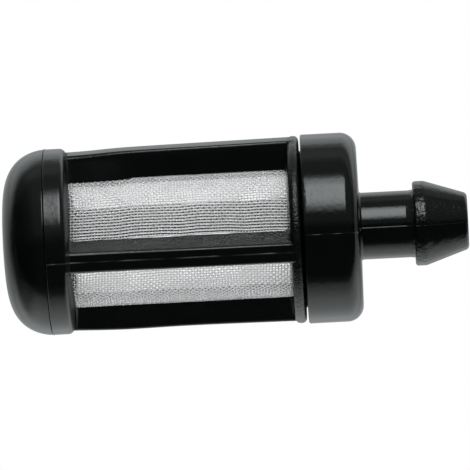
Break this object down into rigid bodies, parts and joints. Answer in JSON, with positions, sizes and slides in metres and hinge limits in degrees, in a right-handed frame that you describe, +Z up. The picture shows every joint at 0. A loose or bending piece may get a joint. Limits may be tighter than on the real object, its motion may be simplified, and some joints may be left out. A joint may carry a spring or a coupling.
{
  "type": "fuel filter",
  "caption": "In-tank pickup fuel filter: a black ribbed cage around a white woven mesh sleeve, closed at one end, with a push-on cap that carries a barbed hose nipple.",
  "frame": {"origin": "on the surface that the filter lies on, below its axis and half way along its length", "axes": "+X along the filter's axis, from the closed end towards the hose nipple; +Z up from the surface; one rib of the cage points along +Z"},
  "size_m": [0.0396, 0.016, 0.0161],
  "materials": {
    "cage_plastic": "satin black moulded plastic",
    "mesh_nylon": "plain-woven translucent white monofilament nylon",
    "cap_plastic": "glossy black moulded plastic"
  },
  "bodies": {
    "cage": {"strainer_cage": "cage_plastic", "mesh_sleeve": "mesh_nylon"},
    "cap": {"nipple_cap": "cap_plastic"}
  },
  "joints": [
    {"name": "cap_pull", "type": "slide", "parent": "cage", "child": "cap", "axis": [1, 0, 0], "range_m": [0, 0.015]}
  ]
}
